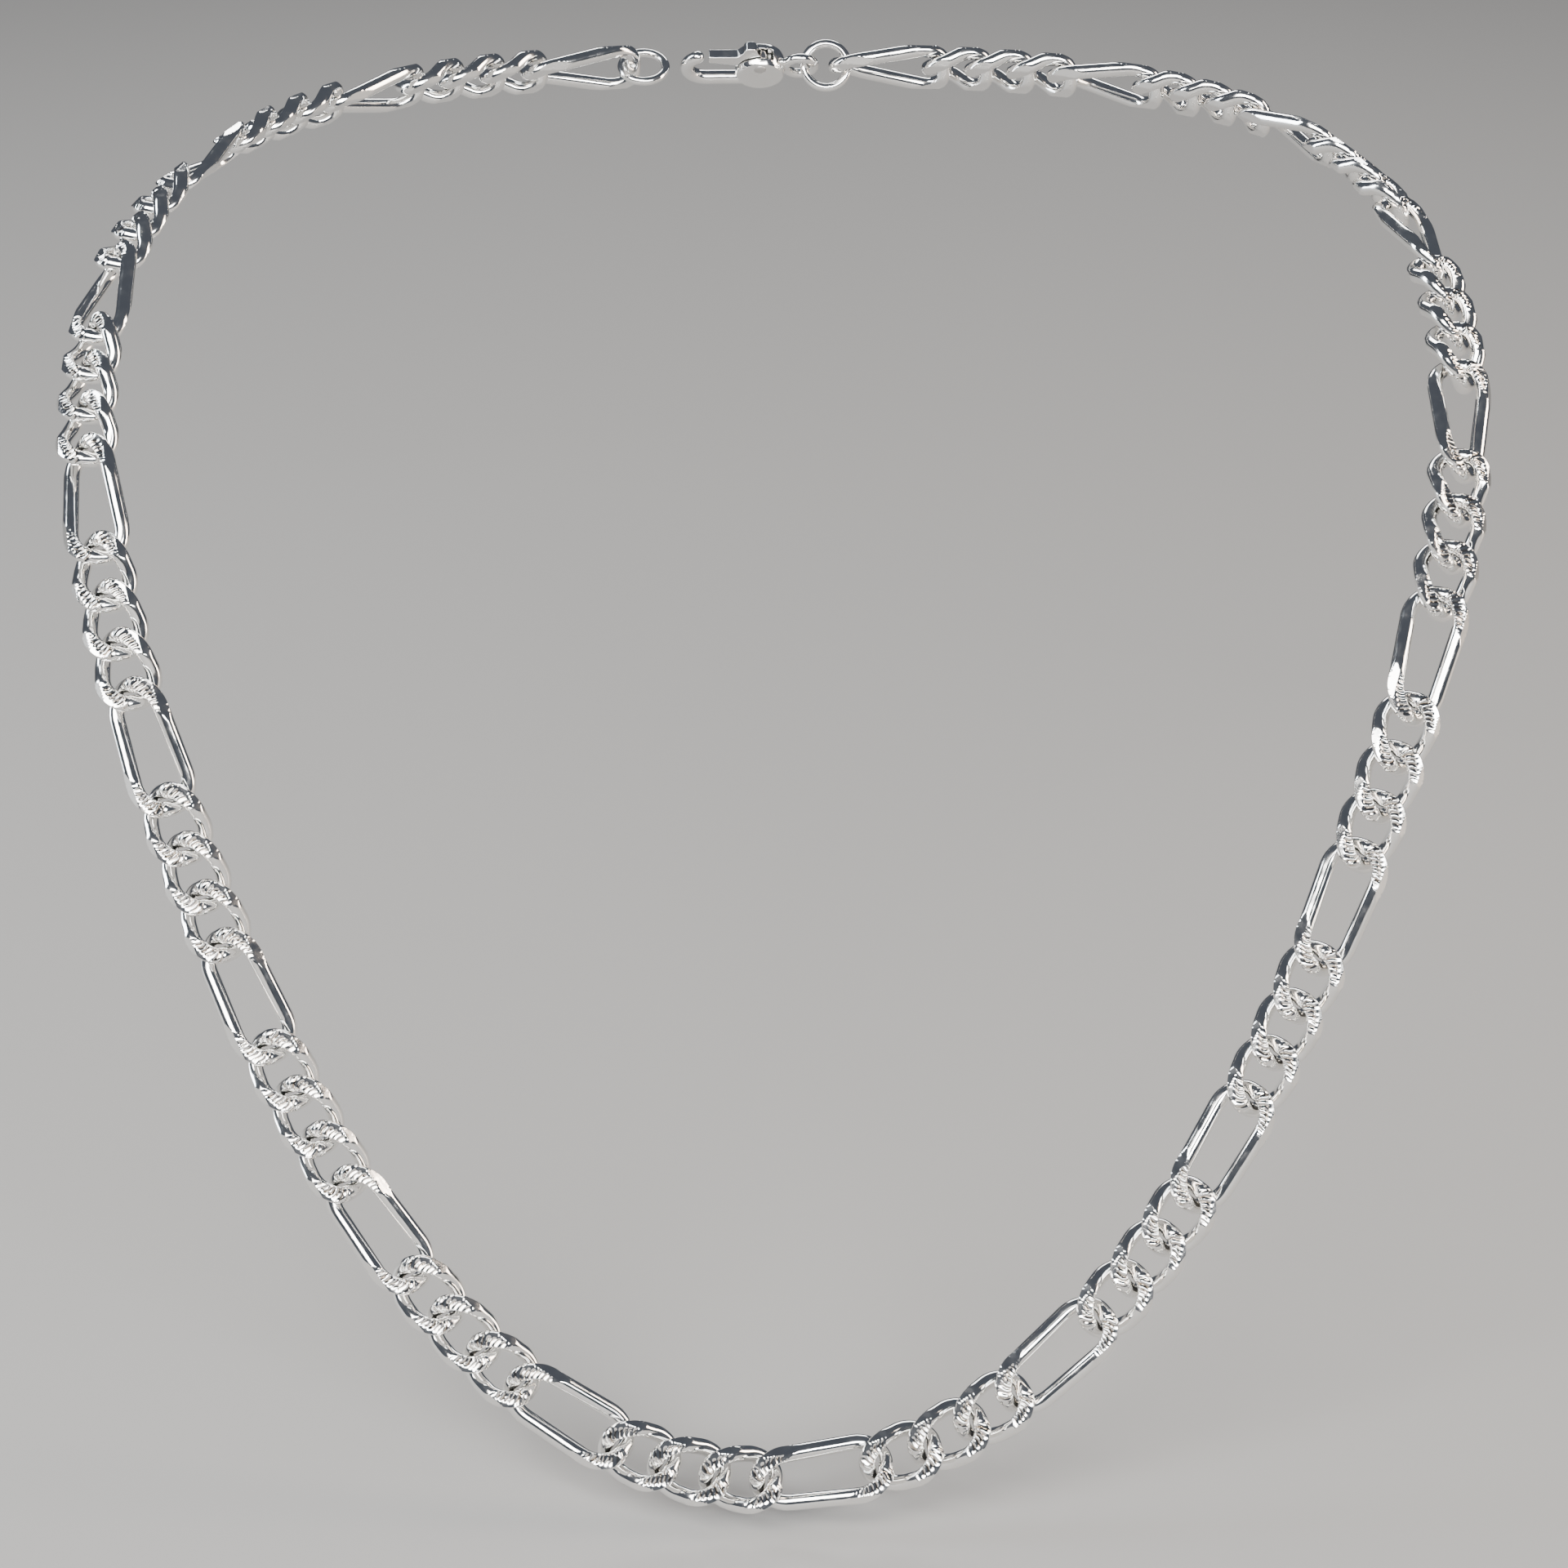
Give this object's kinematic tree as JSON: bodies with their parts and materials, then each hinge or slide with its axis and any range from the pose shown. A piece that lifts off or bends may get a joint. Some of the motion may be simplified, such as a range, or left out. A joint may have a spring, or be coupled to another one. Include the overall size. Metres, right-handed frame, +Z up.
{
  "type": "chain necklace",
  "caption": "Polished silver-coloured figaro chain necklace with twisted, diamond-cut curb links and a lobster clasp, shown in its worn shape.",
  "frame": {"origin": "On the neck's vertical axis, level with the lowest point of the chain's curve over the chest.", "axes": "+X to the right as seen from the front, which is the wearer's left; -Y towards the front of the neck; +Z up."},
  "size_m": [0.1311, 0.1193, 0.1042],
  "materials": {
    "links": "polished silver, diamond cut",
    "rings": "polished silver",
    "clasp": "polished silver",
    "rivet": "satin",
    "spring": "satin"
  },
  "bodies": {
    "front_long_link": {"front_long_link": "links"},
    "left_1_short_link": {"left_1_short_link": "links"},
    "left_1_short_pair": {"left_1_short_pair": "links"},
    "left_1_long_link": {"left_1_long_link": "links"},
    "left_2_short_link": {"left_2_short_link": "links"},
    "left_2_short_pair": {"left_2_short_pair": "links"},
    "left_2_long_link": {"left_2_long_link": "links"},
    "left_3_short_link": {"left_3_short_link": "links"},
    "left_3_short_pair": {"left_3_short_pair": "links"},
    "left_3_long_link": {"left_3_long_link": "links"},
    "left_4_short_link": {"left_4_short_link": "links"},
    "left_4_short_pair": {"left_4_short_pair": "links"},
    "left_4_long_link": {"left_4_long_link": "links"},
    "left_5_short_link": {"left_5_short_link": "links"},
    "left_5_short_pair": {"left_5_short_pair": "links"},
    "left_5_long_link": {"left_5_long_link": "links"},
    "left_6_short_link": {"left_6_short_link": "links"},
    "left_6_short_pair": {"left_6_short_pair": "links"},
    "left_6_long_link": {"left_6_long_link": "links"},
    "left_7_short_link": {"left_7_short_link": "links"},
    "left_7_short_pair": {"left_7_short_pair": "links"},
    "left_7_long_link": {"left_7_long_link": "links"},
    "left_8_short_link": {"left_8_short_link": "links"},
    "left_8_short_pair": {"left_8_short_pair": "links"},
    "left_8_long_link": {"left_8_long_link": "links"},
    "left_9_short_three": {"left_9_short_three": "links"},
    "left_9_long_link": {"left_9_long_link": "links"},
    "end_ring": {"end_ring": "rings"},
    "right_1_short_link": {"right_1_short_link": "links"},
    "right_1_short_pair": {"right_1_short_pair": "links"},
    "right_1_long_link": {"right_1_long_link": "links"},
    "right_2_short_link": {"right_2_short_link": "links"},
    "right_2_short_pair": {"right_2_short_pair": "links"},
    "right_2_long_link": {"right_2_long_link": "links"},
    "right_3_short_link": {"right_3_short_link": "links"},
    "right_3_short_pair": {"right_3_short_pair": "links"},
    "right_3_long_link": {"right_3_long_link": "links"},
    "right_4_short_link": {"right_4_short_link": "links"},
    "right_4_short_pair": {"right_4_short_pair": "links"},
    "right_4_long_link": {"right_4_long_link": "links"},
    "right_5_short_link": {"right_5_short_link": "links"},
    "right_5_short_pair": {"right_5_short_pair": "links"},
    "right_5_long_link": {"right_5_long_link": "links"},
    "right_6_short_link": {"right_6_short_link": "links"},
    "right_6_short_pair": {"right_6_short_pair": "links"},
    "right_6_long_link": {"right_6_long_link": "links"},
    "right_7_short_link": {"right_7_short_link": "links"},
    "right_7_short_pair": {"right_7_short_pair": "links"},
    "right_7_long_link": {"right_7_long_link": "links"},
    "right_8_short_link": {"right_8_short_link": "links"},
    "right_8_short_pair": {"right_8_short_pair": "links"},
    "right_8_long_link": {"right_8_long_link": "links"},
    "right_9_short_three": {"right_9_short_three": "links"},
    "right_9_long_link": {"right_9_long_link": "links"},
    "clasp_ring": {"clasp_ring": "rings"},
    "clasp": {"clasp_body": "clasp", "clasp_rivet": "rivet", "clasp_spring": "spring"},
    "clasp_lever": {"clasp_lever": "clasp"}
  },
  "joints": [
    {"name": "left_1_short_link_hinge", "type": "hinge", "parent": "front_long_link", "child": "left_1_short_link", "pos_m": [-0.00065, -0.07, 0.00001], "axis": [-0.0955, -0.4238, -0.9007], "range_deg": [-15, 0]},
    {"name": "left_1_short_pair_hinge", "type": "hinge", "parent": "left_1_short_link", "child": "left_1_short_pair", "pos_m": [-0.00523, -0.06981, 0.0004], "axis": [-0.2386, -0.4135, -0.8787], "range_deg": [-15, 0]},
    {"name": "left_1_long_link_hinge", "type": "hinge", "parent": "left_1_short_pair", "child": "left_1_long_link", "pos_m": [-0.01397, -0.06862, 0.00293], "axis": [-0.5323, -0.3629, -0.7648], "range_deg": [-15, 0]},
    {"name": "left_2_short_link_hinge", "type": "hinge", "parent": "left_1_long_link", "child": "left_2_short_link", "pos_m": [-0.02235, -0.06638, 0.0077], "axis": [-0.6556, -0.3271, -0.6806], "range_deg": [-15, 0]},
    {"name": "left_2_short_pair_hinge", "type": "hinge", "parent": "left_2_short_link", "child": "left_2_short_pair", "pos_m": [-0.02583, -0.0651, 0.01042], "axis": [-0.7134, -0.3054, -0.6307], "range_deg": [-15, 0]},
    {"name": "left_2_long_link_hinge", "type": "hinge", "parent": "left_2_short_pair", "child": "left_2_long_link", "pos_m": [-0.03204, -0.06221, 0.01656], "axis": [-0.8139, -0.253, -0.523], "range_deg": [-15, 0]},
    {"name": "left_3_short_link_hinge", "type": "hinge", "parent": "left_2_long_link", "child": "left_3_short_link", "pos_m": [-0.0378, -0.05878, 0.02385], "axis": [-0.8539, -0.2217, -0.4709], "range_deg": [-15, 0]},
    {"name": "left_3_short_pair_hinge", "type": "hinge", "parent": "left_3_short_link", "child": "left_3_short_pair", "pos_m": [-0.04019, -0.05711, 0.0274], "axis": [-0.873, -0.2022, -0.4438], "range_deg": [-15, 0]},
    {"name": "left_3_long_link_hinge", "type": "hinge", "parent": "left_3_short_pair", "child": "left_3_long_link", "pos_m": [-0.04454, -0.05366, 0.03473], "axis": [-0.9081, -0.1505, -0.3908], "range_deg": [-15, 0]},
    {"name": "left_4_short_link_hinge", "type": "hinge", "parent": "left_3_long_link", "child": "left_4_short_link", "pos_m": [-0.04868, -0.04983, 0.04287], "axis": [-0.9226, -0.1167, -0.3677], "range_deg": [-15, 0]},
    {"name": "left_4_short_pair_hinge", "type": "hinge", "parent": "left_4_short_link", "child": "left_4_short_pair", "pos_m": [-0.05044, -0.04802, 0.04672], "axis": [-0.9295, -0.0943, -0.3565], "range_deg": [-15, 0]},
    {"name": "left_4_long_link_hinge", "type": "hinge", "parent": "left_4_short_pair", "child": "left_4_long_link", "pos_m": [-0.0537, -0.04435, 0.0545], "axis": [-0.9393, -0.0301, -0.3417], "range_deg": [-15, 0]},
    {"name": "left_5_short_link_hinge", "type": "hinge", "parent": "left_4_long_link", "child": "left_5_short_link", "pos_m": [-0.05686, -0.03997, 0.0628], "axis": [-0.9383, 0.0177, -0.3455], "range_deg": [-15, 0]},
    {"name": "left_5_short_pair_hinge", "type": "hinge", "parent": "left_5_short_link", "child": "left_5_short_pair", "pos_m": [-0.05817, -0.03755, 0.06648], "axis": [-0.9354, 0.0499, -0.35], "range_deg": [-15, 0]},
    {"name": "left_5_long_link_hinge", "type": "hinge", "parent": "left_5_short_pair", "child": "left_5_long_link", "pos_m": [-0.0604, -0.03196, 0.07344], "axis": [-0.9179, 0.1385, -0.3718], "range_deg": [-15, 0]},
    {"name": "left_6_short_link_hinge", "type": "hinge", "parent": "left_5_long_link", "child": "left_6_short_link", "pos_m": [-0.06204, -0.02485, 0.08013], "axis": [-0.8993, 0.1926, -0.3926], "range_deg": [-15, 0]},
    {"name": "left_6_short_pair_hinge", "type": "hinge", "parent": "left_6_short_link", "child": "left_6_short_pair", "pos_m": [-0.06246, -0.02121, 0.0829], "axis": [-0.8843, 0.2267, -0.4083], "range_deg": [-15, 0]},
    {"name": "left_6_long_link_hinge", "type": "hinge", "parent": "left_6_short_pair", "child": "left_6_long_link", "pos_m": [-0.06259, -0.01339, 0.08773], "axis": [-0.8341, 0.3106, -0.4558], "range_deg": [-15, 0]},
    {"name": "left_7_short_link_hinge", "type": "hinge", "parent": "left_6_long_link", "child": "left_7_short_link", "pos_m": [-0.0615, -0.00445, 0.09184], "axis": [-0.7942, 0.3578, -0.4912], "range_deg": [-15, 0]},
    {"name": "left_7_short_pair_hinge", "type": "hinge", "parent": "left_7_short_link", "child": "left_7_short_pair", "pos_m": [-0.06054, -0.00022, 0.09336], "axis": [-0.7651, 0.3865, -0.5149], "range_deg": [-15, 0]},
    {"name": "left_7_long_link_hinge", "type": "hinge", "parent": "left_7_short_pair", "child": "left_7_long_link", "pos_m": [-0.05769, 0.0082, 0.09572], "axis": [-0.6793, 0.4549, -0.5758], "range_deg": [-15, 0]},
    {"name": "left_8_short_link_hinge", "type": "hinge", "parent": "left_7_long_link", "child": "left_8_short_link", "pos_m": [-0.05326, 0.0169, 0.09736], "axis": [-0.6212, 0.4925, -0.6095], "range_deg": [-15, 0]},
    {"name": "left_8_short_pair_hinge", "type": "hinge", "parent": "left_8_short_link", "child": "left_8_short_pair", "pos_m": [-0.05072, 0.0207, 0.09786], "axis": [-0.5821, 0.5163, -0.6281], "range_deg": [-15, 0]},
    {"name": "left_8_long_link_hinge", "type": "hinge", "parent": "left_8_short_pair", "child": "left_8_long_link", "pos_m": [-0.04479, 0.0277, 0.09843], "axis": [-0.4741, 0.5796, -0.6628], "range_deg": [-15, 0]},
    {"name": "left_9_short_three_hinge", "type": "hinge", "parent": "left_8_long_link", "child": "left_9_short_three", "pos_m": [-0.03722, 0.03408, 0.09859], "axis": [-0.4017, 0.6169, -0.6768], "range_deg": [-15, 0]},
    {"name": "left_9_long_link_hinge", "type": "hinge", "parent": "left_9_short_three", "child": "left_9_long_link", "pos_m": [-0.02507, 0.04056, 0.09839], "axis": [-0.2197, 0.6804, -0.6992], "range_deg": [-15, 0]},
    {"name": "end_ring_hinge", "type": "hinge", "parent": "left_9_long_link", "child": "end_ring", "pos_m": [-0.01559, 0.0434, 0.09818], "axis": [-0.0445, 0.7123, -0.7004], "range_deg": [-15, 0]},
    {"name": "right_1_short_link_hinge", "type": "hinge", "parent": "front_long_link", "child": "right_1_short_link", "pos_m": [0.00911, -0.06942, 0.00123], "axis": [0.3517, -0.3987, -0.847], "range_deg": [0, 15]},
    {"name": "right_1_short_pair_hinge", "type": "hinge", "parent": "right_1_short_link", "child": "right_1_short_pair", "pos_m": [0.01342, -0.06873, 0.0027], "axis": [0.4651, -0.3781, -0.8004], "range_deg": [0, 15]},
    {"name": "right_1_long_link_hinge", "type": "hinge", "parent": "right_1_short_pair", "child": "right_1_long_link", "pos_m": [0.02131, -0.06672, 0.00696], "axis": [0.6723, -0.3213, -0.6669], "range_deg": [0, 15]},
    {"name": "right_2_short_link_hinge", "type": "hinge", "parent": "right_1_long_link", "child": "right_2_short_link", "pos_m": [0.02864, -0.06389, 0.01299], "axis": [0.754, -0.2871, -0.5908], "range_deg": [0, 15]},
    {"name": "right_2_short_pair_hinge", "type": "hinge", "parent": "right_2_short_link", "child": "right_2_short_pair", "pos_m": [0.03166, -0.06241, 0.01612], "axis": [0.7921, -0.2667, -0.549], "range_deg": [0, 15]},
    {"name": "right_2_long_link_hinge", "type": "hinge", "parent": "right_2_short_pair", "child": "right_2_long_link", "pos_m": [0.03708, -0.05925, 0.02285], "axis": [0.8594, -0.2163, -0.4632], "range_deg": [0, 15]},
    {"name": "right_3_short_link_hinge", "type": "hinge", "parent": "right_2_long_link", "child": "right_3_short_link", "pos_m": [0.04214, -0.05563, 0.03054], "axis": [0.8869, -0.1851, -0.4233], "range_deg": [0, 15]},
    {"name": "right_3_short_pair_hinge", "type": "hinge", "parent": "right_3_short_link", "child": "right_3_short_pair", "pos_m": [0.04426, -0.05389, 0.03424], "axis": [0.9002, -0.165, -0.403], "range_deg": [0, 15]},
    {"name": "right_3_long_link_hinge", "type": "hinge", "parent": "right_3_short_pair", "child": "right_3_long_link", "pos_m": [0.04815, -0.05034, 0.04178], "axis": [0.9246, -0.1104, -0.3645], "range_deg": [0, 15]},
    {"name": "right_4_short_link_hinge", "type": "hinge", "parent": "right_3_long_link", "child": "right_4_short_link", "pos_m": [0.05189, -0.04644, 0.05007], "axis": [0.9343, -0.0741, -0.3486], "range_deg": [0, 15]},
    {"name": "right_4_short_pair_hinge", "type": "hinge", "parent": "right_4_short_link", "child": "right_4_short_pair", "pos_m": [0.05349, -0.0446, 0.05398], "axis": [0.9384, -0.051, -0.3417], "range_deg": [0, 15]},
    {"name": "right_4_long_link_hinge", "type": "hinge", "parent": "right_4_short_pair", "child": "right_4_long_link", "pos_m": [0.05646, -0.04062, 0.06171], "axis": [0.9376, 0.0275, -0.3465], "range_deg": [0, 15]},
    {"name": "right_5_short_link_hinge", "type": "hinge", "parent": "right_4_long_link", "child": "right_5_short_link", "pos_m": [0.05921, -0.03526, 0.06957], "axis": [0.9313, 0.0788, -0.3557], "range_deg": [0, 15]},
    {"name": "right_5_short_pair_hinge", "type": "hinge", "parent": "right_5_short_link", "child": "right_5_short_pair", "pos_m": [0.06027, -0.03237, 0.07299], "axis": [0.9244, 0.1132, -0.3643], "range_deg": [0, 15]},
    {"name": "right_5_long_link_hinge", "type": "hinge", "parent": "right_5_short_pair", "child": "right_5_long_link", "pos_m": [0.06187, -0.02587, 0.07929], "axis": [0.8951, 0.2033, -0.3969], "range_deg": [0, 15]},
    {"name": "right_6_short_link_hinge", "type": "hinge", "parent": "right_5_long_link", "child": "right_6_short_link", "pos_m": [0.06265, -0.0179, 0.08511], "axis": [0.8694, 0.2553, -0.4231], "range_deg": [0, 15]},
    {"name": "right_6_short_pair_hinge", "type": "hinge", "parent": "right_6_short_link", "child": "right_6_short_pair", "pos_m": [0.06261, -0.01393, 0.08744], "axis": [0.85, 0.2875, -0.4415], "range_deg": [0, 15]},
    {"name": "right_6_long_link_hinge", "type": "hinge", "parent": "right_6_short_pair", "child": "right_6_long_link", "pos_m": [0.06173, -0.00566, 0.09136], "axis": [0.7858, 0.367, -0.4978], "range_deg": [0, 15]},
    {"name": "right_7_short_link_hinge", "type": "hinge", "parent": "right_6_long_link", "child": "right_7_short_link", "pos_m": [0.05946, 0.00345, 0.09449], "axis": [0.738, 0.4102, -0.5358], "range_deg": [0, 15]},
    {"name": "right_7_short_pair_hinge", "type": "hinge", "parent": "right_7_short_link", "child": "right_7_short_pair", "pos_m": [0.05792, 0.00764, 0.09559], "axis": [0.7046, 0.4363, -0.5596], "range_deg": [0, 15]},
    {"name": "right_7_long_link_hinge", "type": "hinge", "parent": "right_7_short_pair", "child": "right_7_long_link", "pos_m": [0.05393, 0.01577, 0.09719], "axis": [0.6097, 0.5001, -0.615], "range_deg": [0, 15]},
    {"name": "right_8_short_link_hinge", "type": "hinge", "parent": "right_7_long_link", "child": "right_8_short_link", "pos_m": [0.04829, 0.02385, 0.09817], "axis": [0.547, 0.5371, -0.6421], "range_deg": [0, 15]},
    {"name": "right_8_short_pair_hinge", "type": "hinge", "parent": "right_8_short_link", "child": "right_8_short_pair", "pos_m": [0.04522, 0.02726, 0.09841], "axis": [0.5051, 0.5615, -0.6554], "range_deg": [0, 15]},
    {"name": "right_8_long_link_hinge", "type": "hinge", "parent": "right_8_short_pair", "child": "right_8_long_link", "pos_m": [0.03829, 0.0333, 0.09859], "axis": [0.3874, 0.6235, -0.6791], "range_deg": [0, 15]},
    {"name": "right_9_short_three_hinge", "type": "hinge", "parent": "right_8_long_link", "child": "right_9_short_three", "pos_m": [0.02984, 0.03846, 0.0985], "axis": [0.3083, 0.6546, -0.6902], "range_deg": [0, 15]},
    {"name": "right_9_long_link_hinge", "type": "hinge", "parent": "right_9_short_three", "child": "right_9_long_link", "pos_m": [0.01688, 0.04311, 0.0982], "axis": [0.1245, 0.698, -0.7051], "range_deg": [0, 15]},
    {"name": "clasp_ring_hinge", "type": "hinge", "parent": "right_9_long_link", "child": "clasp_ring", "pos_m": [0.00711, 0.04469, 0.09804], "axis": [-0.0444, 0.7095, -0.7033], "range_deg": [0, 15]},
    {"name": "clasp_hinge", "type": "hinge", "parent": "clasp_ring", "child": "clasp", "pos_m": [0.00354, 0.04448, 0.09806], "axis": [-0.0444, 0.7095, -0.7033], "range_deg": [0, 15]},
    {"name": "clasp_lever_hinge", "type": "hinge", "parent": "clasp", "child": "clasp_lever", "pos_m": [-0.00166, 0.04315, 0.09911], "axis": [-0.0355, 0.7024, 0.7109], "range_deg": [-22, 0], "stiffness_Nm_per_rad": 0.01, "springref_deg": 20.05, "deforming": ["clasp_spring"]}
  ]
}
